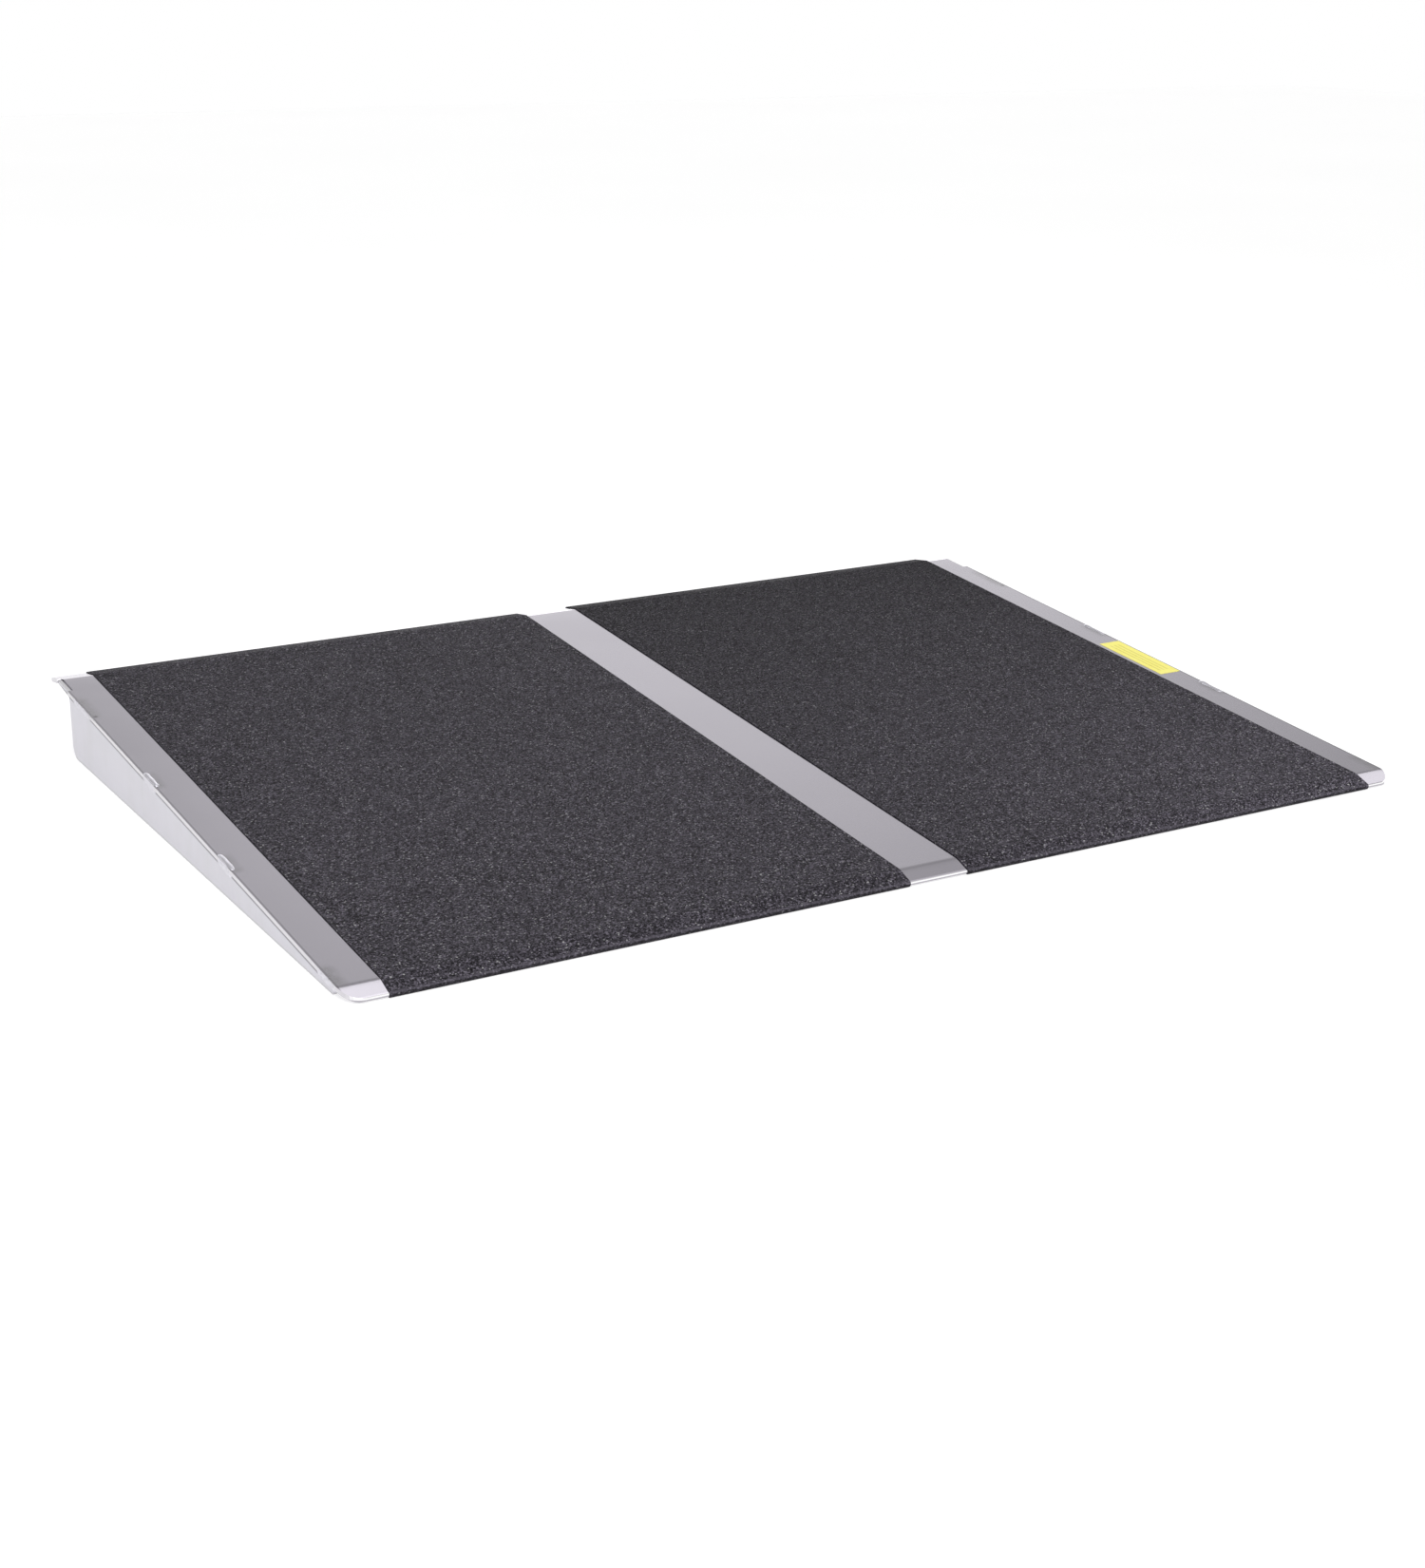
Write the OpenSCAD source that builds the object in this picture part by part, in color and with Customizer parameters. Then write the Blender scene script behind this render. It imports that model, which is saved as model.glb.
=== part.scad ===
// Portable threshold ramp for wheelchairs: one folded aluminium sheet standing on edge-on gussets,
// with two panels of anti-slip tape. Millimetres, +Z up.
// The origin is the middle of the footprint on the floor. +X runs across the width and +Y climbs
// the slope, so the low edge faces -Y and the lip that rests on the sill faces +Y.

/* [Deck plate] */
// Width of the deck across the path of travel
deck_width = 914.4; // [700:1:1000]
// Length of the walking surface along the slope, from bend to bend
deck_length = 609.6; // [560:1:700]
// Slope of the walking surface above the floor, degrees
deck_angle = 4.76; // [4:0.01:5.5]
// Thickness of the sheet
plate_t = 3.175; // [3:0.025:4]
// Length of the folded front bevel along its own slope
bevel_length = 15.5; // [14:0.5:20]
// Slope of the front bevel above the floor, degrees
bevel_angle = 20; // [16:0.5:24]
// Length of the rear lip along its own slope
lip_length = 21.2; // [18:0.1:30]
// Fall of the rear lip below level, degrees
lip_angle = 8.7; // [6:0.1:12]
// Inside radius of the front fold
front_bend_r = 16; // [3:0.5:18]
// Inside radius of the rear fold
rear_bend_r = 8.8; // [5:0.1:10]
// Radius of the two front corners seen from above
front_corner_r = 18; // [8:1:20]
// Radius of the two rear corners seen from above
rear_corner_r = 3; // [1:0.5:4]
// Rounding of the front edge and of the lip's edge, above and below
edge_r = 1.2; // [0.4:0.1:1.4]

/* [Side notches] */
// Depth of the relief notch in each side edge, ahead of the rear fold
notch_depth = 4.8; // [4.6:0.1:8]
// Level distance from the rear fold to the front end of the notch
notch_reach = 28.5; // [20:0.5:40]
// Level distance the notch runs on past the rear fold
notch_past = 2; // [1.6:0.1:4]

/* [Gussets] */
// Thickness of each gusset plate
gusset_t = 3.2; // [3:0.1:3.4]
// Step from the deck's side edge in to the outer face of a side gusset
gusset_inset = 1; // [0.6:0.1:1.2]
// Distance between neighbouring inner gussets
inner_pitch = 228; // [180:1:230]
// Level distance from the front fold to the front tip of each gusset
toe_setback = 8; // [3:0.5:10]
// Radius of the rear foot corner of each gusset
heel_r = 11; // [6:0.5:16]
// Radius of the front tip of each gusset
toe_r = 2.5; // [1:0.1:3]
// Drop from the walking surface to the top of a side gusset's nose
nose_drop = 1.2; // [1:0.1:2]
// Depth of the nose below the sheet at its root
nose_root = 2.3; // [1.5:0.1:4]
// Depth of the nose below the sheet at its end
nose_end = 0.6; // [0.3:0.1:1]
// Gap between a nose and the front end of its notch
nose_gap = 0.4; // [0.3:0.1:1]
// Distance the nose runs on past the rear fold
nose_past = 1.2; // [0:0.1:1.4]

/* [Welds] */
// Length of a stitch weld
stitch_length = 30; // [25:1:40]
// Length of the rear stitch on a side gusset
rear_stitch_length = 50; // [25:1:60]
// Distance along the slope from the front fold to the start of the front side stitch
front_stitch_gap = 3.5; // [3:0.5:20]
// Distance along the slope from the end of the rear side stitch to the heel
rear_stitch_gap = 14; // [3:0.5:30]
// Reach of the two middle side stitches over the deck's top edge
stitch_over = 3.6; // [2:0.1:4]
// Reach of the front and the rear side stitch over the deck's top edge
end_stitch_over = 0.8; // [0.5:0.1:2]
// Height of a side stitch above the deck
stitch_rise = 0.8; // [0.3:0.1:1]
// Bulge of a side stitch beyond the deck's edge
stitch_bulge = 0.35; // [0.2:0.05:0.5]
// Leg of a side stitch down the gusset
stitch_drop = 2.6; // [2:0.1:4]
// Leg of the fillet stitches under the deck
fillet_leg = 4; // [3:0.5:6]

/* [Grip tape] */
// Thickness of the anti-slip tape
tape_t = 0.9; // [0.8:0.1:1]
// Bare margin between the left edge of the deck and the left tape
left_margin = 30.5; // [25:0.5:40]
// Bare margin between the right tape and the right edge of the deck
right_margin = 29; // [25:0.5:40]
// Width of the bare strip between the tapes
strip_width = 51; // [40:1:80]
// Step of the bare strip towards +X from the middle of the deck
strip_offset = 4; // [-10:0.5:10]
// Length of tape folded back under the front edge
front_tuck = 8; // [5:0.5:12]
// Length of tape folded back under the lip
rear_tuck = 10; // [6:0.5:14]

/* [Side label] */
// Width of the blank side label
label_width = 22; // [15:0.5:23]
// Length of the blank side label along the slope
label_length = 87; // [60:1:110]
// Thickness of the label film
label_t = 0.2; // [0.1:0.05:0.3]
// Step from the deck's right edge in to the label
label_inset = 1.5; // [1:0.1:2]
// Distance along the slope from the front fold to the middle of the label
label_along = 295; // [100:5:480]

/* [Hidden] */
arc_steps = 4;                 // flats along each fold and each wrapped edge
toe_gap = 0.02;                // gap left between the tape under the front edge and the floor
spill = 1;                     // cutting tools run this far past what they cut

// The front edge is raised until the tape wrapped round it just clears the floor
toe_lift = toe_gap + tape_t + edge_r * (1 - sin(bevel_angle) - cos(bevel_angle));

// Height of the top of the front fold: the bevel's rise on the raised front edge
bend_z = toe_lift + plate_t * cos(bevel_angle) + bevel_length * sin(bevel_angle);
half_w = deck_width / 2;

// Corners of the sheet's top surface as [y, z], measured from the top of the front fold
tip = [-bevel_length * cos(bevel_angle), bend_z - bevel_length * sin(bevel_angle)];
fold = [0, bend_z];
ridge = [deck_length * cos(deck_angle), bend_z + deck_length * sin(deck_angle)];
lip = ridge + lip_length * [cos(lip_angle), -sin(lip_angle)];

// The same corners on the underside of the sheet's two free edges
tip_under = tip + plate_t * [sin(bevel_angle), -cos(bevel_angle)];
lip_under = lip - plate_t * [sin(lip_angle), cos(lip_angle)];

// The wrapped tape reaches this far past the sheet's front and rear
front_y = tip[0] - tape_t;
rear_y = lip[0] + tape_t;
centre_y = (front_y + rear_y) / 2;

// Gusset stations: the deck's underside as a height over y, and the vertical rear edge
function under_z(y) = bend_z - plate_t / cos(deck_angle) + y * tan(deck_angle);
heel_y = ridge[0] - notch_reach;

// Side stitches as [start along the slope from the front fold, length, reach over the top edge]
rear_stitch_end = heel_y / cos(deck_angle) - rear_stitch_gap;
side_stitches = [
    [front_stitch_gap, stitch_length, end_stitch_over],
    [0.318 * deck_length, stitch_length, stitch_over],
    [0.588 * deck_length, stitch_length, stitch_over],
    [rear_stitch_end - rear_stitch_length, rear_stitch_length, end_stitch_over]
];
// Starts of the inner stitches along the slope from the front fold
inner_stitches = [for (share = [0.075, 0.385, 0.695]) share * deck_length];
// The inner stitches alternate from one face of the plate to the other by this much along the slope
inner_stagger = 0.155 * deck_length;

// Paths of [y, z] points that run from the front to the rear, with their outside on the left
function unit(v) = v / norm(v);
function left_of(v) = [-v[1], v[0]];
function out_normal(a, b) = left_of(unit(b - a));

// Corner i of the open path p moved outwards by d, its two ends moved square to the path
function moved(p, i, d) =
    let (n = len(p) - 1,
         before = out_normal(p[max(i, 1) - 1], p[max(i, 1)]),
         after = out_normal(p[min(i, n - 1)], p[min(i, n - 1) + 1]))
    p[i] + d * (before + after) / (1 + before * after);

// Arc of radius r that rounds the corner b of the path a-b-c, whichever way it turns
function corner(a, b, c, r) =
    let (before = out_normal(a, b),
         after = out_normal(b, c),
         way = before * (c - b) < 0 ? 1 : -1,
         middle = b - way * r * (before + after) / (1 + before * after),
         from = atan2(before[1], before[0]),
         turn = way * acos(min(1, before * after)))
    [for (i = [0:arc_steps])
        let (angle = from - turn * i / arc_steps)
        middle + way * r * [cos(angle), sin(angle)]];

// Open path p moved outwards by d, its inner corners rounded to the radii r
function wrapped(p, r, d) =
    let (n = len(p) - 1,
         q = [for (i = [0:n]) moved(p, i, d)])
    [for (i = [0:n])
        each (i == 0 || i == n) ? [q[i]] : corner(q[i - 1], q[i], q[i + 1], r[i] + d)];

// Closed path p with every corner rounded to the radii r
function rounded(p, r) =
    let (n = len(p))
    [for (i = [0:n - 1]) each corner(p[(i + n - 1) % n], p[i], p[(i + 1) % n], r[i])];

function reversed(p) = [for (i = [len(p) - 1:-1:0]) p[i]];

// Profile of the sheet: its top surface from the front edge to the lip, and back underneath
top_path = [tip, fold, ridge, lip];
sheet_profile = rounded(
    [tip_under, tip, fold, ridge, lip, lip_under,
     moved(top_path, 2, -plate_t), moved(top_path, 1, -plate_t)],
    [edge_r, edge_r, front_bend_r + plate_t, rear_bend_r + plate_t, edge_r, edge_r,
     rear_bend_r, front_bend_r]);

// Profile of the tape: it starts under the front edge and ends under the lip
wrap_path = [
    tip_under + front_tuck * [cos(bevel_angle), sin(bevel_angle)],
    tip_under, tip, fold, ridge, lip, lip_under,
    lip_under - rear_tuck * [cos(lip_angle), -sin(lip_angle)]
];
wrap_radii = [0, edge_r, edge_r, front_bend_r + plate_t, rear_bend_r + plate_t, edge_r, edge_r, 0];
tape_profile = concat(wrapped(wrap_path, wrap_radii, tape_t), reversed(wrapped(wrap_path, wrap_radii, 0)));

// Draws a [y, z] profile as a slab that runs across the ramp from x1 to x2
module across(x1, x2) {
    translate([x1, -centre_y, 0])
        rotate([90, 0, 90])
            linear_extrude(height = x2 - x1)
                children();
}

// Places children at a distance along the slope, on the walking surface (drop = 0) or below it
module on_slope(x, along, drop) {
    translate([x, -centre_y, bend_z])
        rotate([deck_angle, 0, 0])
            translate([0, along, -drop])
                children();
}

// Repeats children mirrored to the other side of the ramp
module facing(side) {
    if (side > 0)
        mirror([1, 0, 0]) children();
    else
        children();
}

// Plan of one corner region still to be cut away outside a radius r
module outside_corner(r) {
    difference() {
        square([r + spill, r + spill]);
        circle(r = r, $fn = 96);
    }
}

// Folded sheet: bevel, walking surface and lip in one, with rounded corners and two side notches
module deck_plate() {
    tall = lip[1] + ridge[1];
    color([0.70, 0.69, 0.72])
    difference() {
        across(-half_w, half_w)
            polygon(sheet_profile);
        for (side = [-1, 1])
            facing(side) {
                translate([-half_w + front_corner_r, tip[0] - centre_y + front_corner_r, -spill])
                    rotate(180)
                        linear_extrude(height = tall)
                            outside_corner(front_corner_r);
                translate([-half_w + rear_corner_r, lip[0] - centre_y - rear_corner_r, -spill])
                    rotate(90)
                        linear_extrude(height = tall)
                            outside_corner(rear_corner_r);
                translate([-half_w - spill, heel_y - centre_y, -spill])
                    cube([notch_depth + spill, notch_reach + notch_past, tall]);
            }
    }
}

// Rounds the toe and the heel of a gusset profile whose foot runs along the floor
module rounded_foot() {
    difference() {
        children();
        translate([heel_y - heel_r, heel_r])
            rotate(-90)
                outside_corner(heel_r);
        translate([toe_setback + toe_r, toe_r])
            rotate(180)
                outside_corner(toe_r);
    }
}

// Corners of every gusset along its foot and up its heel
foot_line = [[toe_setback, 0], [heel_y, 0]];
toe_top = [toe_setback, under_z(toe_setback)];

// Side gusset: its nose stands in the deck's notch behind the heel
module side_gusset(side) {
    middle = side * (half_w - gusset_inset - gusset_t / 2);
    root = heel_y + nose_gap;
    end = ridge[0] + nose_past;
    rise = plate_t / cos(deck_angle) - nose_drop;
    color([0.80, 0.80, 0.82])
        across(middle - gusset_t / 2, middle + gusset_t / 2)
            rounded_foot()
                polygon(concat(foot_line, [
                    [heel_y, under_z(heel_y) - nose_root - spill],
                    [heel_y + spill, under_z(heel_y) - nose_root],
                    [end, under_z(end) - nose_end],
                    [end, under_z(end) + rise],
                    [root, under_z(root) + rise],
                    [root, under_z(root)],
                    toe_top
                ]));
}

// Inner gusset centred on x
module inner_gusset(x) {
    color([0.76, 0.76, 0.78])
        across(x - gusset_t / 2, x + gusset_t / 2)
            rounded_foot()
                polygon(concat(foot_line, [[heel_y, under_z(heel_y)], toe_top]));
}

// Section of a side stitch: it wraps the deck's edge and fills the ledge above the gusset
module edge_bead(over) {
    rise = stitch_rise * over / stitch_over;
    polygon([
        [over, plate_t], [0, plate_t], [0, 0],
        [gusset_inset, 0], [gusset_inset, -stitch_drop],
        [gusset_inset * 0.3, -stitch_drop * 0.55], [-stitch_bulge * 0.8, 0],
        [-stitch_bulge, plate_t * 0.45], [-stitch_bulge * 0.75, plate_t * 0.95],
        [0, plate_t + rise * 0.5], [over * 0.35, plate_t + rise], [over * 0.7, plate_t + rise * 0.8]
    ]);
}

// Four stitches that join the deck's edge to a side gusset
module side_welds(side) {
    color([0.84, 0.84, 0.86])
        facing(side)
            for (stitch = side_stitches)
                on_slope(-half_w, stitch[0] + stitch[1], plate_t)
                    rotate([90, 0, 0])
                        linear_extrude(height = stitch[1])
                            edge_bead(stitch[2]);
}

// Section of a fillet stitch between the deck above and the face of a gusset at x = 0
module fillet_bead(face) {
    bow_out = 0.66;
    bow_in = 0.4;
    polygon([
        [0, 0], [0, -fillet_leg],
        [face * fillet_leg * bow_in, -fillet_leg * bow_out],
        [face * fillet_leg * bow_out, -fillet_leg * bow_in],
        [face * fillet_leg, 0]
    ]);
}

// Fillet stitches that join an inner gusset centred on x to the deck, staggered on its two faces
module inner_welds(x) {
    color([0.84, 0.84, 0.86])
        for (face = [-1, 1], along = inner_stitches)
            on_slope(x + face * gusset_t / 2,
                     along + stitch_length + (face > 0 ? inner_stagger : 0), plate_t)
                rotate([90, 0, 0])
                    linear_extrude(height = stitch_length)
                        fillet_bead(face);
}

// One panel of anti-slip tape from x1 to x2, wrapped round the front edge and the lip
module grip_tape(x1, x2) {
    color([0.25, 0.24, 0.25])
        across(x1, x2)
            polygon(tape_profile);
}

module left_gusset() { side_gusset(-1); }
module right_gusset() { side_gusset(1); }
module centre_gusset() { inner_gusset(0); }
module left_inner_gusset() { inner_gusset(-inner_pitch); }
module right_inner_gusset() { inner_gusset(inner_pitch); }
module left_gusset_welds() { side_welds(-1); }
module right_gusset_welds() { side_welds(1); }
module centre_gusset_welds() { inner_welds(0); }
module left_inner_gusset_welds() { inner_welds(-inner_pitch); }
module right_inner_gusset_welds() { inner_welds(inner_pitch); }
module left_grip_tape() { grip_tape(-half_w + left_margin, strip_offset - strip_width / 2); }
module right_grip_tape() { grip_tape(strip_offset + strip_width / 2, half_w - right_margin); }

// Blank identification label on the bare right margin
module side_label() {
    color([1.0, 0.96, 0.43])
        on_slope(half_w - label_inset - label_width, label_along - label_length / 2, 0)
            cube([label_width, label_length, label_t]);
}

deck_plate();
left_gusset();
right_gusset();
centre_gusset();
left_inner_gusset();
right_inner_gusset();
left_gusset_welds();
right_gusset_welds();
centre_gusset_welds();
left_inner_gusset_welds();
right_inner_gusset_welds();
left_grip_tape();
right_grip_tape();
side_label();
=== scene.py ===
"""Looks of the portable wheelchair ramp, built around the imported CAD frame. Metres, CAD frame."""

import math

import bmesh
import bpy
from mathutils import Matrix, Vector, noise


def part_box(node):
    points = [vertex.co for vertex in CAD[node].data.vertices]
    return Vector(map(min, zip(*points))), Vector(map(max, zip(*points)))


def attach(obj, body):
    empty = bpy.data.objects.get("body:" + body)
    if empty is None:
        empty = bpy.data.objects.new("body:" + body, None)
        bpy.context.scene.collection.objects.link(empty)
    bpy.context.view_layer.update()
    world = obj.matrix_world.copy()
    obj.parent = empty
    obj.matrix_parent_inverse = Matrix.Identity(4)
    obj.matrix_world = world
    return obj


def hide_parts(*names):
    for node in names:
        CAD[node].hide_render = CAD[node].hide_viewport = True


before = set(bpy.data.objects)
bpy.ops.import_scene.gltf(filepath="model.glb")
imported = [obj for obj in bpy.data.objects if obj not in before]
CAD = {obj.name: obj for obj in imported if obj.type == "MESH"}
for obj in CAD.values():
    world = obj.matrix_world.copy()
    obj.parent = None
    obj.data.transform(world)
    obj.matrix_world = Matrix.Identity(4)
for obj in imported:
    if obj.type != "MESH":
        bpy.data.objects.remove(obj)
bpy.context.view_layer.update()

MM = 0.001
SLOPE = math.radians(4.76)          # of the walking surface
SHEET = 3.175 * MM                  # thickness of the deck
STITCH_DROP = 2.6 * MM              # how far the solid of a side stitch reaches below the deck
FILLET_LEG = 4.0 * MM               # leg of the solid of a fillet stitch
HALF_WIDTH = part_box("deck_plate")[1].x

DECK_EDGE = 0.4 * MM                # radii of the broken edges
PLATE_EDGE = 0.3 * MM
TAPE_EDGE = 0.22 * MM
LABEL_EDGE = 0.05 * MM

SMOOTH_ANGLE = math.radians(32)     # edges flatter than this are folds, not cut edges
WELD_DIST = 1e-6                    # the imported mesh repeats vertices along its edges
FLAT_ANGLE = 0.004                  # faces this close to one plane are one face

INNER_GUSSETS = ("centre_gusset", "left_inner_gusset", "right_inner_gusset")
GUSSETS = ("left_gusset", "right_gusset") + INNER_GUSSETS
TAPES = ("left_grip_tape", "right_grip_tape")


# ---------------------------------------------------------------- mesh helpers
def welded(node):
    """A CAD node's mesh as a new bmesh, its triangles merged back into whole faces."""
    bm = bmesh.new()
    bm.from_mesh(CAD[node].data)
    bmesh.ops.remove_doubles(bm, verts=bm.verts, dist=WELD_DIST)
    bmesh.ops.dissolve_limit(bm, angle_limit=FLAT_ANGLE, verts=bm.verts, edges=bm.edges)
    return bm


def islands(node):
    """(lowest corner, highest corner) of each separate solid of a CAD node, front to rear."""
    bm = welded(node)
    left = set(bm.verts)
    found = []
    while left:
        stack = [left.pop()]
        members = []
        while stack:
            v = stack.pop()
            members.append(v.co.copy())
            for e in v.link_edges:
                other = e.other_vert(v)
                if other in left:
                    left.remove(other)
                    stack.append(other)
        low = Vector([min(c[i] for c in members) for i in range(3)])
        high = Vector([max(c[i] for c in members) for i in range(3)])
        found.append((low, high))
    bm.free()
    return sorted(found, key=lambda b: (b[0].y, b[0].x))


def place(name, bm, material, node):
    """A finished piece from a bmesh: it rides on the body and stands for the named CAD node."""
    mesh = bpy.data.meshes.new(name)
    bmesh.ops.recalc_face_normals(bm, faces=bm.faces)
    bm.to_mesh(mesh)
    bm.free()
    piece = bpy.data.objects.new(name, mesh)
    bpy.context.scene.collection.objects.link(piece)
    mesh.materials.append(material)
    mesh.shade_smooth()
    mesh.set_sharp_from_angle(angle=SMOOTH_ANGLE)
    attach(piece, "root")
    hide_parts(node)
    return piece


def rounded_edges(piece, width, segments):
    """Rounds every cut edge and keeps the flat faces flat in the shading."""
    mod = piece.modifiers.new("edges", "BEVEL")
    mod.width = width
    mod.segments = segments
    mod.limit_method = "ANGLE"
    mod.angle_limit = SMOOTH_ANGLE
    mod.harden_normals = True
    mod.use_clamp_overlap = True
    graph = bpy.context.evaluated_depsgraph_get()
    mesh = bpy.data.meshes.new_from_object(piece.evaluated_get(graph))
    piece.modifiers.clear()
    piece.data = mesh


# ---------------------------------------------------------------- node helpers
class Tree:
    """A short way to write shader nodes: each call adds a node and returns its output."""

    def __init__(self, owner, shader):
        owner.use_nodes = True
        self.owner = owner
        self.tree = owner.node_tree
        self.shader = self.tree.nodes[shader]

    def node(self, kind, **settings):
        made = self.tree.nodes.new(kind)
        for key, value in settings.items():
            setattr(made, key, value)
        return made

    def feed(self, socket, value):
        if isinstance(value, bpy.types.NodeSocket):
            self.tree.links.new(value, socket)
        else:
            socket.default_value = value

    def split(self, vector):
        """The X, Y and Z parts of a vector."""
        made = self.node("ShaderNodeSeparateXYZ")
        self.feed(made.inputs["Vector"], vector)
        return made.outputs

    def axis(self, which):
        return self.split(self.node("ShaderNodeTexCoord").outputs["Object"])[which]

    def facing(self):
        """The parts of the direction that the surface faces."""
        return self.split(self.node("ShaderNodeNewGeometry").outputs["Normal"])

    def coords(self, scale):
        mapping = self.node("ShaderNodeMapping")
        self.feed(mapping.inputs["Vector"], self.node("ShaderNodeTexCoord").outputs["Object"])
        self.feed(mapping.inputs["Scale"], scale)
        return mapping.outputs["Vector"]

    def noise(self, scale, detail, rough=0.5, vector=(1, 1, 1)):
        made = self.node("ShaderNodeTexNoise")
        self.feed(made.inputs["Vector"], self.coords(vector))
        self.feed(made.inputs["Scale"], scale)
        self.feed(made.inputs["Detail"], detail)
        self.feed(made.inputs["Roughness"], rough)
        return made.outputs["Fac"]

    def cells(self, scale):
        """A distance and a colour for each of many small cells."""
        made = self.node("ShaderNodeTexVoronoi", feature="F1")
        self.feed(made.inputs["Vector"], self.coords((1, 1, 1)))
        self.feed(made.inputs["Scale"], scale)
        return made.outputs

    def ramp(self, value, stops):
        made = self.node("ShaderNodeValToRGB")
        points = made.color_ramp.elements
        while len(points) < len(stops):
            points.new(0.5)
        for point, (at, colour) in zip(points, stops):
            point.position = at
            point.color = colour
        self.feed(made.inputs["Fac"], value)
        return made.outputs["Color"]

    def span(self, value, from_low, from_high, to_low=0, to_high=1):
        made = self.node("ShaderNodeMapRange")
        for key, number in (("From Min", from_low), ("From Max", from_high),
                            ("To Min", to_low), ("To Max", to_high)):
            self.feed(made.inputs[key], number)
        self.feed(made.inputs["Value"], value)
        return made.outputs["Result"]

    def math(self, how, a, b=0.0):
        made = self.node("ShaderNodeMath", operation=how)
        self.feed(made.inputs[0], a)
        self.feed(made.inputs[1], b)
        return made.outputs["Value"]

    def add(self, a, b):
        return self.math("ADD", a, b)

    def minus(self, a, b):
        return self.math("SUBTRACT", a, b)

    def times(self, a, b):
        return self.math("MULTIPLY", a, b)

    def magnitude(self, a):
        return self.math("ABSOLUTE", a)

    def band(self, value, low, high, soft):
        """1 where value lies between low and high, fading to 0 over soft on both sides."""
        return self.times(self.span(value, low - soft, low), self.span(value, high, high + soft, 1, 0))

    def mix(self, amount, a, b, how="MIX"):
        made = self.node("ShaderNodeMix", data_type="RGBA", blend_type=how)
        self.feed(made.inputs["Factor"], amount)
        self.feed(made.inputs["A"], a)
        self.feed(made.inputs["B"], b)
        return made.outputs["Result"]

    def bump(self, height, strength, distance, after=None):
        made = self.node("ShaderNodeBump")
        self.feed(made.inputs["Strength"], strength)
        self.feed(made.inputs["Distance"], distance)
        self.feed(made.inputs["Height"], height)
        if after is not None:
            self.feed(made.inputs["Normal"], after)
        return made.outputs["Normal"]

    def finish(self, **sockets):
        """Sets the shader's sockets and returns the finished material or world."""
        for key, value in sockets.items():
            self.feed(self.shader.inputs[key.replace("_", " ")], value)
        return self.owner


def new_material(name):
    return Tree(bpy.data.materials.new(name), "Principled BSDF")


# Tints of the greys
VIOLET = (1.0, 0.955, 1.052)
COOL = (0.994, 0.975, 1.053)
CLEAN = (1.0, 0.99, 1.01)
NEUTRAL = (1.0, 1.0, 1.0)


def grey(value, tint=VIOLET):
    return (*(value * part for part in tint), 1)


WHITE = grey(1.0, NEUTRAL)


# ---------------------------------------------------------------- marks on the metal
# (y of the front end, length) of the stitches along each side of the deck, front to rear
STITCHES = [(low.y, high.y - low.y) for low, high in islands("left_gusset_welds")]
REAR_CRATER = STITCHES[-1][0]       # where the rear stitch was broken off

# Height of the deck's underside above the inclined plane through the origin, measured square to it
heel_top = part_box("centre_gusset")[1]
UNDERSIDE = heel_top.z * math.cos(SLOPE) - heel_top.y * math.sin(SLOPE)


def beside_stitches(t, start, reach):
    """1 next to the side stitches and 0 away from them, most of it ahead of their middles. It
    fades from start to start + reach inwards from the deck's side edges."""
    fade_ends = HALF_WIDTH - start - reach
    near_edge = t.span(t.magnitude(t.axis("X")), fade_ends, fade_ends + reach)
    along = 0.0
    for front, length in STITCHES:
        away = t.magnitude(t.minus(t.axis("Y"), front + 0.4 * length))
        along = t.math("MAXIMUM", along, t.span(away, 0.36 * length, 0.62 * length, 1, 0))
    ragged = t.span(t.noise(140, 4), 0.3, 0.7, 0.45, 1)
    return t.times(t.times(near_edge, along), ragged)


def spot(t, inset, y, radius):
    """1 in a round spot on each side of the ramp, inset from the deck's side edges."""
    side = t.minus(t.magnitude(t.axis("X")), HALF_WIDTH - inset)
    along = t.minus(t.axis("Y"), y)
    away = t.math("SQRT", t.add(t.times(side, side), t.times(along, along)))
    return t.span(away, radius * 0.5, radius, 1, 0)


def metal_base(t, level, tint, grain, smoothness):
    """Colour, roughness and bumps of mill-finish aluminium: rolling grain, clouds and fine pits.

    grain is how many streaks there are to a metre along each axis."""
    streaks = t.noise(1.0, 4, 0.62, grain)
    finer_streaks = t.noise(1.0, 2, 0.5, tuple(3.1 * along for along in grain))
    clouds = t.noise(9.0, 4, 0.55)
    pits = t.noise(700.0, 2, 0.6)
    waves = t.noise(40.0, 2)
    tone = t.ramp(clouds, [(0.3, grey(level * 0.975, tint)), (0.52, grey(level, tint)),
                           (0.72, grey(level * 1.02, tint))])
    tone = t.mix(t.span(streaks, 0.35, 0.65, 0, 0.22), tone, grey(level * 0.95, tint))
    tone = t.mix(t.span(pits, 0.66, 0.80, 0, 0.12), tone, grey(level * 0.8, tint))
    rough = t.span(streaks, 0.3, 0.7, smoothness - 0.01, smoothness + 0.02)
    rough = t.add(rough, t.span(clouds, 0.3, 0.7, -0.02, 0.02))
    normal = t.bump(streaks, 0.025, 0.04 * MM)
    normal = t.bump(finer_streaks, 0.012, 0.02 * MM, normal)
    normal = t.bump(waves, 0.03, 0.3 * MM, normal)
    return tone, rough, normal


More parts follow.
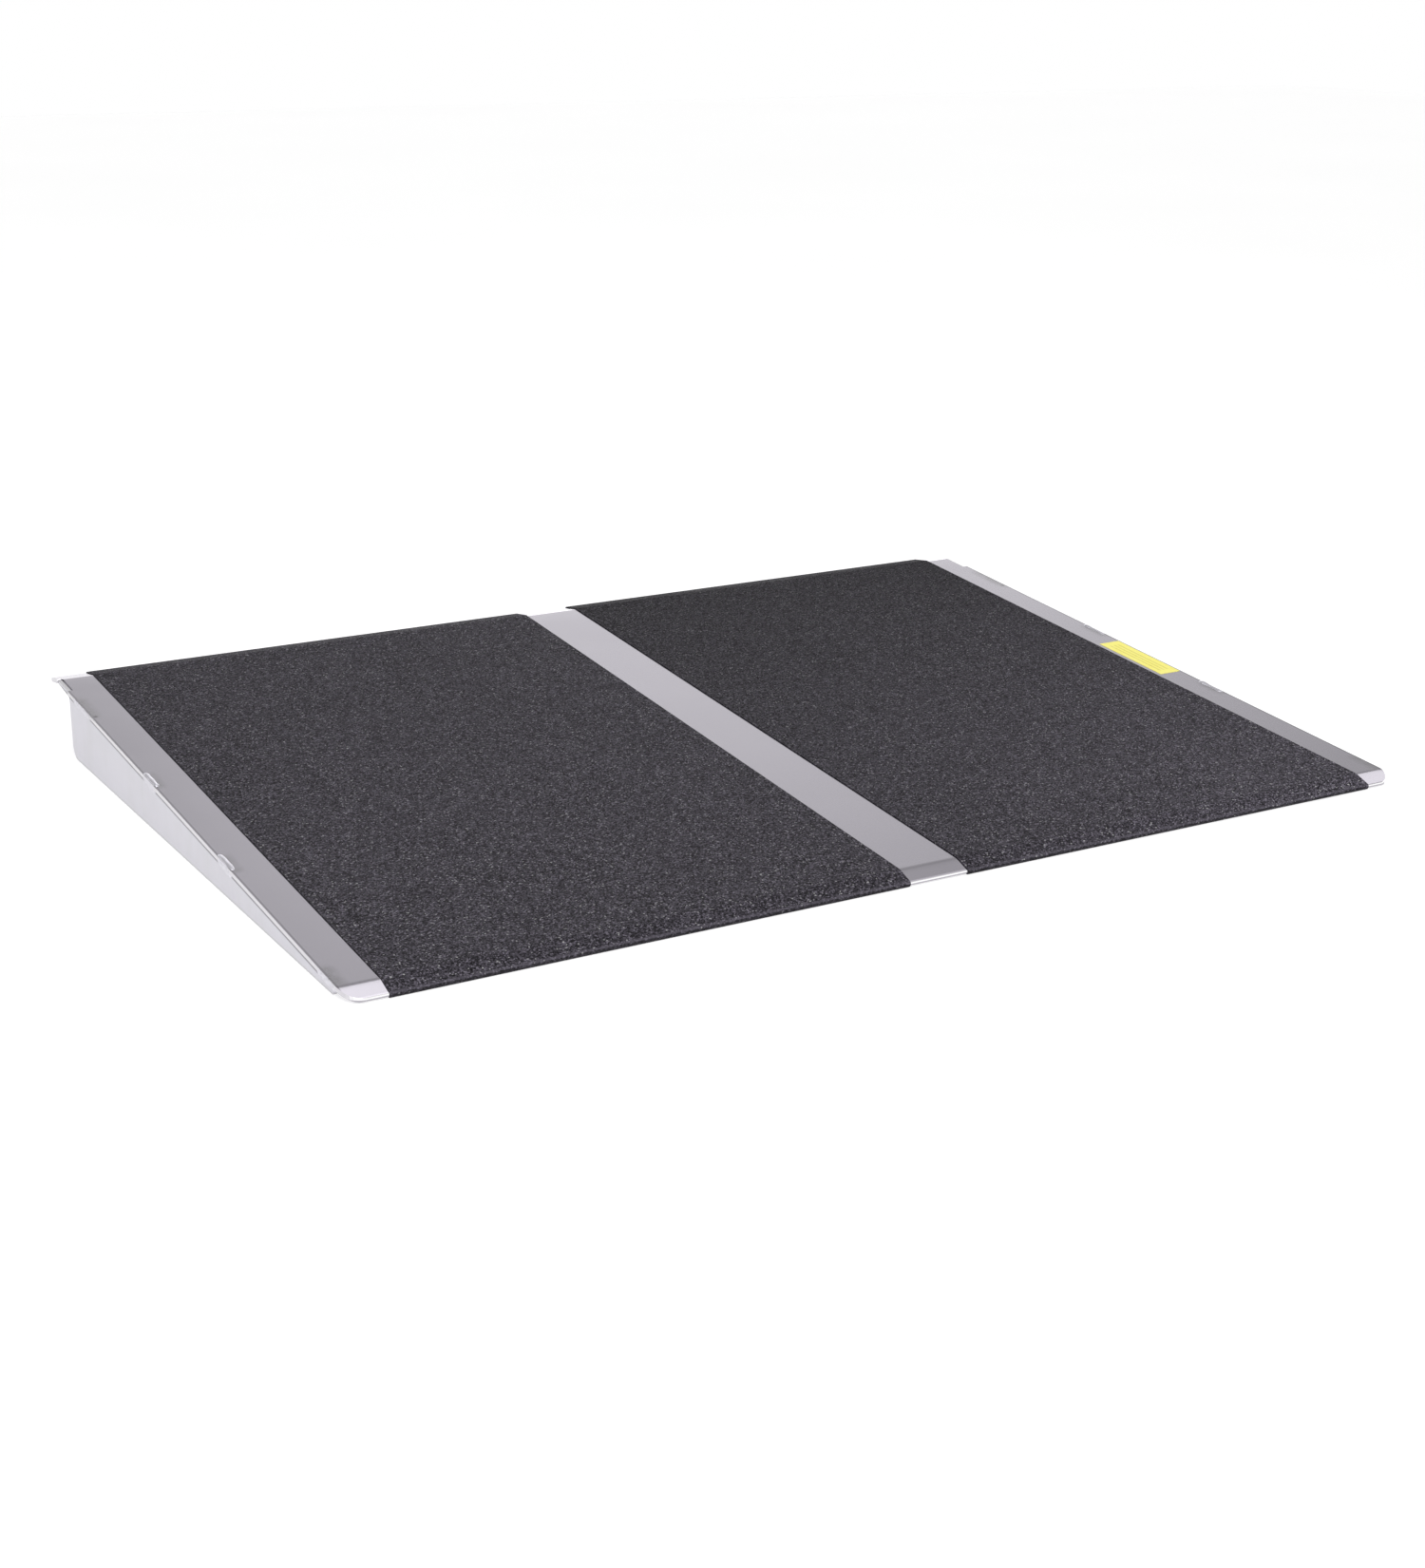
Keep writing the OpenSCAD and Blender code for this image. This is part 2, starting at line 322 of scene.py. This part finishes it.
# ---------------------------------------------------------------- materials
def deck_metal(name):
    """The bare sheet: painted highlights on its front edges, dark lines along its sides, heat marks beside
    the stitches with painted shade against the beads, painted shadow along its foot.
    """
    t = new_material(name)
    tone, rough, normal = metal_base(t, 0.62, VIOLET, (22.0, 1900.0, 1900.0), 0.16)
    # Heat marks beside the stitches; where they are darkest, against the beads' inner edges, the darkening
    # is painted shade.
    heat = beside_stitches(t, 3.5 * MM, 8.0 * MM)
    tone = t.mix(t.times(heat, 0.8), tone, grey(0.36, (1.0, 0.975, 1.01)))
    rough = t.add(rough, t.times(heat, 0.12))
    crater = spot(t, 3.5 * MM, REAR_CRATER - 1.0 * MM, 2.4 * MM)
    tone = t.mix(t.times(crater, 0.8), tone, grey(0.2))
    # A darker line along each side of the top, just inside its edge.
    dark_edge_line = t.band(t.magnitude(t.axis("X")), HALF_WIDTH - 1.6 * MM, HALF_WIDTH - 0.5 * MM, 0.3 * MM)
    tone = t.mix(t.times(dark_edge_line, 0.55), tone, grey(0.30))
    facing = t.facing()
    # Painted highlight: faces turned forwards rather than up are made almost white.
    painted_front_highlight = t.times(t.span(facing["Z"], 0.6, 0.85, 1, 0), t.span(facing["Y"], -0.55, -0.3, 1, 0))
    tone = t.mix(painted_front_highlight, tone, grey(0.93, CLEAN))
    sheared = t.span(t.magnitude(facing["X"]), 0.5, 0.8)
    tone = t.mix(sheared, tone, grey(0.56, (1.0, 0.975, 1.03)))
    # Painted shadow: everything below about 2.5 mm is darkened, a dark line along the foot of the front
    # edge.
    painted_foot_shadow = t.span(t.axis("Z"), 2.3 * MM, 2.9 * MM, 0.9, 0)
    tone = t.mix(painted_foot_shadow, tone, grey(0.34))
    return t.finish(Base_Color=tone, Metallic=1.0, Roughness=rough, Normal=normal)


def gusset_metal(name):
    """The standing plates: upright grain, painted shade under the sheet, faint marks under the stitches,
    painted highlights on upward-facing edges, painted shadow along the foot.
    """
    t = new_material(name)
    tone, rough, normal = metal_base(t, 0.58, COOL, (900.0, 900.0, 60.0), 0.36)
    smudge = t.noise(1.0, 3, 0.5, (60.0, 60.0, 14.0))
    tone = t.mix(t.span(smudge, 0.5, 0.75, 0, 0.22), tone, grey(0.50, NEUTRAL))
    heat = beside_stitches(t, 0.0, 2.0 * MM)
    tone = t.mix(t.times(heat, 0.16), tone, grey(0.42))
    handled = t.noise(1.0, 3, 0.55, (14.0, 14.0, 20.0))
    tone = t.mix(t.span(handled, 0.42, 0.68, 0, 0.14), tone, grey(0.46, CLEAN))
    height = t.minus(t.times(t.axis("Z"), math.cos(SLOPE)), t.times(t.axis("Y"), math.sin(SLOPE)))
    # Painted shade: a dark band on the gussets just under the sheet's overhanging edge.
    painted_shade_under_sheet = t.band(height, UNDERSIDE - STITCH_DROP, UNDERSIDE - 0.2 * MM, 0.5 * MM)
    tone = t.mix(t.times(painted_shade_under_sheet, 0.8), tone, grey(0.16))
    # Painted highlight: edges of the gussets that face upwards are made almost white.
    painted_top_edge_highlight = t.span(t.facing()["Z"], 0.5, 0.85, 0, 0.9)
    tone = t.mix(painted_top_edge_highlight, tone, grey(0.95, CLEAN))
    # Painted shadow: the lowest couple of millimetres of the gussets are darkened where they meet the
    # floor.
    painted_shadow_at_foot = t.span(t.axis("Z"), 0.8 * MM, 2.4 * MM, 0.4, 0)
    tone = t.mix(painted_shadow_at_foot, tone, grey(0.36, (1.0, 1.0, 0.96)))
    return t.finish(Base_Color=tone, Metallic=1.0, Roughness=rough, Normal=normal)


def weld_metal(name):
    """Bare weld metal: sooty in patches, a painted highlight along its top, with a dark crater on each
    side.
    """
    t = new_material(name)
    soot = t.noise(420.0, 4, 0.6)
    tone = t.ramp(soot, [(0.32, grey(0.53, COOL)), (0.5, grey(0.61, COOL)), (0.7, grey(0.66, COOL))])
    # Painted highlight: the parts of the bead that face upwards are made much brighter.
    crown = t.span(t.facing()["Z"], 0.2, 0.9, 0, 0.7)
    tone = t.mix(crown, tone, grey(0.90, COOL))
    crater = spot(t, 0.2 * MM, REAR_CRATER + 3.5 * MM, 2.6 * MM)
    tone = t.mix(t.times(crater, 0.85), tone, grey(0.16))
    rough = t.span(soot, 0.3, 0.7, 0.44, 0.34)
    normal = t.bump(t.noise(1600.0, 3), 0.15, 0.08 * MM)
    return t.finish(Base_Color=tone, Metallic=1.0, Roughness=rough, Normal=normal)


def tape_shading_by_position(t):
    """How pale the tape is, 1 being the middle of the ramp: palest at the front, most of all on the
    right panel, which is darker along the bare strip. This is fitted shading painted into the tape
    by position; what makes the real tape look like this isn't known."""
    right = t.span(t.axis("X"), 0.0, 0.01)
    slant = t.times(right, t.span(t.axis("X"), 0.0, 0.45, 0.5, 1.4))
    slant = t.add(slant, 0.2)
    paler_to_front = t.minus(1.0, t.times(t.axis("Y"), slant))
    inner = t.times(right, t.span(t.axis("X"), 0.05, 0.32, 0.2, 0))
    return t.minus(paler_to_front, inner)


def grit_tape(name):
    """Black film crowded with mineral grains of mixed shade, a few of them glassy."""
    t = new_material(name)
    tint = (1.02, 0.93, 1.15)
    level = 0.0375
    grains = t.cells(980.0)
    dust = t.cells(2100.0)
    clumps = t.noise(430.0, 3, 0.65)
    patches = t.noise(16.0, 4, 0.55)
    pick = t.node("ShaderNodeSeparateColor")
    t.feed(pick.inputs["Color"], grains["Color"])
    shade = t.ramp(pick.outputs["Red"], [(0.0, grey(level * 0.03, tint)), (0.4, grey(level * 0.52, tint)),
                                         (0.8, grey(level * 1.75, tint)), (0.97, grey(level * 3.6, tint)),
                                         (1.0, grey(level * 8.5, NEUTRAL))])
    shade = t.mix(t.span(clumps, 0.30, 0.52, 0.42, 0.0), shade, grey(level * 0.3, tint))
    shade = t.mix(t.span(clumps, 0.52, 0.78, 0.0, 0.34), shade, grey(level * 2.0, tint))
    shade = t.mix(t.span(patches, 0.35, 0.7, 0.0, 0.10), shade, grey(level * 1.8, tint))
    # Painted shading by position: paler at the front, darker at the rear and beside the bare strip.
    shade = t.mix(1.0, shade, tape_shading_by_position(t), "MULTIPLY")
    facing_up = t.facing()["Z"]
    # Painted highlight along the tape's rounded edges, where they turn from up to sideways.
    painted_edge_highlight = t.band(facing_up, 0.35, 0.85, 0.06)
    shade = t.mix(t.times(painted_edge_highlight, 0.45), shade, grey(level * 2.6, tint))
    # Painted shade: faces turned sideways or downwards are darkened.
    painted_shade_below = t.span(facing_up, -0.1, 0.3, 0.7, 0)
    shade = t.mix(painted_shade_below, shade, grey(level * 0.3, tint))
    height = t.minus(1.0, t.times(grains["Distance"], 1.2))
    height = t.times(height, t.span(pick.outputs["Green"], 0, 1, 0.5, 1.0))
    normal = t.bump(height, 0.8, 0.55 * MM)
    normal = t.bump(dust["Distance"], 0.5, -0.25 * MM, normal)
    rough = t.span(pick.outputs["Blue"], 0.0, 1.0, 0.85, 0.5)
    return t.finish(Base_Color=shade, Metallic=0.0, Roughness=rough, Specular_IOR_Level=0.08, Normal=normal)


def label_film(name, low, high):
    """Blank yellow film with three plain faint bars along it."""
    t = new_material(name)
    tone = t.ramp(t.noise(60.0, 3), [(0.3, (0.97, 0.885, 0.165, 1)), (0.7, (0.98, 0.91, 0.195, 1))])
    width = high.x - low.x
    length = high.y - low.y
    bars = 0.0
    for share in (0.27, 0.47, 0.67):
        away = t.magnitude(t.minus(t.axis("X"), low.x + share * width))
        bars = t.math("MAXIMUM", bars, t.span(away, 0.035 * width, 0.06 * width, 1, 0))
    away = t.magnitude(t.minus(t.axis("Y"), (low.y + high.y) / 2))
    bars = t.times(bars, t.span(away, 0.40 * length, 0.41 * length, 1, 0))
    faded = t.span(t.noise(900.0, 3), 0.4, 0.6, 0.25, 0.6)
    tone = t.mix(t.times(bars, faded), tone, (0.55, 0.47, 0.06, 1))
    rough = t.span(t.noise(80.0, 3), 0.3, 0.7, 0.32, 0.45)
    normal = t.bump(t.noise(300.0, 2), 0.1, 0.05 * MM)
    return t.finish(Base_Color=tone, Roughness=rough, Normal=normal)


# ---------------------------------------------------------------- sheet, gussets, tape and label
deck = place("deck_sheet", welded("deck_plate"), deck_metal("deck_metal"), "deck_plate")
rounded_edges(deck, DECK_EDGE, 3)

plate_metal = gusset_metal("gusset_metal")
for node in GUSSETS:
    plate = place(node + "_plate", welded(node), plate_metal, node)
    rounded_edges(plate, PLATE_EDGE, 3)

grit = grit_tape("grip_tape")
for node in TAPES:
    tape = place(node + "_panel", welded(node), grit, node)
    rounded_edges(tape, TAPE_EDGE, 2)

film = label_film("label_film", *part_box("side_label"))
label = place("blank_label", welded("side_label"), film, "side_label")
rounded_edges(label, LABEL_EDGE, 2)

# ---------------------------------------------------------------- welds
RING_STEP = 0.45 * MM               # between the rings of a swept bead
END_SIZE = 0.35                     # of the section's full size
BLUNTNESS = 7                       # how suddenly a bead swells from its ends
RIPPLE = 2.6 * MM                   # from one ripple to the next
RIPPLE_LAG = 1.98                   # radians by which a ripple is bent at the middle of the rim
RIPPLE_DEPTH = 0.015                # of the section's size
WANDER_RATE = 90                    # slow swellings to a metre
WANDER_DEPTH = 0.22                 # of the section's size
ALONG = Vector((0, math.cos(SLOPE), math.sin(SLOPE)))
UP = Vector((0, -math.sin(SLOPE), math.cos(SLOPE)))


def bead(bm, start, out, length, section, seed):
    """One stitch: a rippled section swept up the slope, its two ends sinking into the plate.

    section is a closed list of (out, up) points in millimetres, which shrinks towards its first
    point, the hub. The other points are the rim."""
    rings = max(12, int(length / RING_STEP))
    hub, *rim = [Vector(point) * MM for point in section]
    previous = None
    for i in range(rings + 1):
        t = i / rings
        swell = END_SIZE + (1 - END_SIZE) * math.sqrt(max(0.0, 1 - abs(2 * t - 1) ** BLUNTNESS))
        ring = []
        for j, point in enumerate(rim):
            v = j / (len(rim) - 1)
            ripple = math.sin(2 * math.pi * t * length / RIPPLE + RIPPLE_LAG * math.sin(math.pi * v))
            wander = noise.noise(Vector((t * length * WANDER_RATE + seed, v * 0.8, seed * 0.37)))
            q = hub + (point - hub) * swell * (1 + RIPPLE_DEPTH * ripple + WANDER_DEPTH * wander)
            ring.append(bm.verts.new(start + ALONG * (t * length) + out * q.x + UP * q.y))
        if previous:
            for j in range(len(ring)):
                k = (j + 1) % len(ring)
                bm.faces.new((previous[j], previous[k], ring[k], ring[j]))
        else:
            bm.faces.new(list(reversed(ring)))
        previous = ring
    bm.faces.new(previous)


# Sections of the side stitches, (outwards, up) from the deck's top edge. The middle ones wrap over
# that edge, and the front and rear ones only fill the corner between the sheet's side and the gusset.
EDGE_SECTION = [
    (-1.9, -1.9),
    (-4.9, -0.4), (-4.2, 0.30), (-3.1, 0.75), (-2.0, 0.92), (-1.1, 0.76), (-0.4, 0.3), (0.02, -0.5),
    (0.2, -1.5), (0.2, -2.6), (0.02, -3.6), (-0.25, -4.6), (-0.55, -5.6), (-0.85, -6.6), (-1.2, -7.4),
    (-2.2, -5.8), (-2.8, -3.0)]
CORNER_SECTION = [
    (-1.9, -3.4),
    (-1.0, -0.35), (-0.25, -0.05), (0.25, -0.7), (0.5, -1.7), (0.5, -2.9), (0.25, -4.0), (-0.1, -5.0),
    (-0.5, -6.0), (-1.2, -6.9), (-2.2, -5.8), (-2.8, -3.0), (-2.0, -1.4)]
# Section of a fillet stitch under the deck, (away from the gusset, up) from the corner
FILLET_SECTION = [
    (-0.6, 0.6),
    (-0.5, -4.3), (0.35, -4.0), (1.3, -3.2), (2.2, -2.3), (3.1, -1.4), (3.9, -0.4), (4.3, 0.5),
    (1.5, 1.0), (-1.0, 1.0), (-1.0, -1.5)]

bead_metal = weld_metal("weld_metal")

for side, node in ((-1, "left_gusset_welds"), (1, "right_gusset_welds")):
    bm = bmesh.new()
    for number, (low, high) in enumerate(islands(node)):
        # a stitch's solid is lowest at the foot of its front end, which stands square to the slope
        surface = low.z + (SHEET + STITCH_DROP) * math.cos(SLOPE)
        start = Vector((side * HALF_WIDTH, low.y, surface))
        length = (high.y - low.y) / math.cos(SLOPE)
        middle_one = 0 < number < len(STITCHES) - 1
        section = EDGE_SECTION if middle_one else CORNER_SECTION
        bead(bm, start, Vector((side, 0, 0)), length, section, 3.1 + number * 5.7 + side)
    place(node + "_beads", bm, bead_metal, node)

for plate in INNER_GUSSETS:
    bm = bmesh.new()
    node = plate + "_welds"
    plate_low, plate_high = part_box(plate)
    middle = (plate_low.x + plate_high.x) / 2
    for number, (low, high) in enumerate(islands(node)):
        side = 1 if (low.x + high.x) / 2 > middle else -1
        surface = low.z + FILLET_LEG * math.cos(SLOPE)
        start = Vector((plate_high.x if side > 0 else plate_low.x, low.y, surface))
        length = (high.y - low.y) / math.cos(SLOPE)
        bead(bm, start, Vector((side, 0, 0)), length, FILLET_SECTION, 1.3 + number * 4.1 + middle)
    place(node + "_beads", bm, bead_metal, node)

# ---------------------------------------------------------------- floor
FLOOR_REACH = 9.0
FLOOR_DROP = 0.2 * MM               # keeps the floor clear of the gussets' feet
bm = bmesh.new()
bmesh.ops.create_grid(bm, x_segments=8, y_segments=8, size=FLOOR_REACH)
floor_mesh = bpy.data.meshes.new("floor")
bm.to_mesh(floor_mesh)
bm.free()
floor = bpy.data.objects.new("floor", floor_mesh)
bpy.context.scene.collection.objects.link(floor)
floor.location.z = -FLOOR_DROP
paper = new_material("floor_paper")
paper_tone = paper.ramp(paper.noise(1.3, 2), [(0.3, grey(0.49, NEUTRAL)), (0.7, grey(0.51, NEUTRAL))])
floor_mesh.materials.append(paper.finish(Base_Color=paper_tone, Roughness=0.9,
                                         Emission_Color=WHITE, Emission_Strength=0.65))

# ---------------------------------------------------------------- studio
# Not a real room: both curves are fitted by direction, so that the bare metal reflects as it does in
# the photograph. Bright behind the ramp, darker overhead, and an even LOW_SIDE on the low side.
# (how far a direction leans to the wall rather than upwards, brightness)
SKY = [(-1.0, 0.9), (-0.6, 0.66), (-0.4, 0.45), (-0.1, 0.33), (0.1, 0.44), (0.2, 0.54), (0.28, 0.64),
       (0.36, 0.77), (0.5, 0.87), (0.6, 1.9), (1.0, 1.9)]
# (sideways part of a direction, share of that brightness)
SIDEWAYS = [(-1.0, 0.8), (0.18, 0.55), (0.25, 0.60), (0.28, 0.715), (0.30, 0.80), (0.33, 0.94),
            (0.44, 0.99), (0.50, 1.05), (0.54, 1.03), (0.60, 1.02), (0.67, 0.88), (1.0, 0.9)]
LOW_SIDE = 0.92


def studio_ramp(t, value, stops):
    """The grey that goes with a value from -1 to 1."""
    return t.ramp(t.span(value, -1, 1), [((at + 1) / 2, grey(bright, NEUTRAL)) for at, bright in stops])


def studio(name):
    """The world: the studio as the ramp reflects it, and plain white where the camera sees it."""
    t = Tree(bpy.data.worlds.new(name), "Background")
    direction = t.split(t.node("ShaderNodeTexCoord").outputs["Generated"])
    lean = t.minus(t.magnitude(direction["Y"]), direction["Z"])
    wall = t.mix(1.0, studio_ramp(t, lean, SKY), studio_ramp(t, direction["X"], SIDEWAYS), "MULTIPLY")
    walls = t.mix(t.span(direction["Y"], -0.1, -0.5), wall, grey(LOW_SIDE, NEUTRAL))
    to_camera = t.node("ShaderNodeLightPath").outputs["Is Camera Ray"]
    return t.finish(Color=t.mix(to_camera, walls, WHITE), Strength=1.0)


def softbox(name, position, aim, size, power):
    lamp = bpy.data.lights.new(name, "AREA")
    lamp.shape = "RECTANGLE"
    lamp.size, lamp.size_y = size
    lamp.energy = power
    box = bpy.data.objects.new(name, lamp)
    box.location = position
    box.rotation_euler = (Vector(aim) - Vector(position)).to_track_quat("-Z", "Y").to_euler()
    bpy.context.scene.collection.objects.link(box)


bpy.context.scene.world = studio("studio")
softbox("overhead", (-0.25, 0.2, 2.28), (-0.25, 0.2, 0), (1.8, 2.2), 11)
softbox("left_key", (-0.9, -1.6, 1.6), (-0.2, -0.2, 0), (1.0, 0.7), 26)
softbox("right_panel", (2.53, 0.62, 1.97), (0.45, -0.3, 0), (0.9, 0.7), 1.7)

# ---------------------------------------------------------------- camera
YAW, PITCH, ROLL = 0.5325, 0.3244, 0.0070
EYE = Vector((-0.97996, -1.66577, 0.63073))
IMAGE_HEIGHT = 1650                 # in pixels
FOCAL = 2569.6                      # in pixels of that image
SENSOR = 36.0
forward = Vector((math.sin(YAW) * math.cos(PITCH), math.cos(YAW) * math.cos(PITCH), -math.sin(PITCH)))
across = Vector((math.cos(YAW), -math.sin(YAW), 0))
above = across.cross(forward)
right = math.cos(ROLL) * across + math.sin(ROLL) * above
upward = math.cos(ROLL) * above - math.sin(ROLL) * across
camera_data = bpy.data.cameras.new("camera")
camera_data.sensor_fit = "AUTO"
camera_data.sensor_width = SENSOR
camera_data.lens = SENSOR * FOCAL / IMAGE_HEIGHT
camera_data.clip_start, camera_data.clip_end = 0.05, 60
camera = bpy.data.objects.new("camera", camera_data)
camera.matrix_world = Matrix.Translation(EYE) @ Matrix((right, upward, -forward)).transposed().to_4x4()
bpy.context.scene.collection.objects.link(camera)
bpy.context.scene.camera = camera
bpy.context.scene.view_settings.view_transform = "Standard"
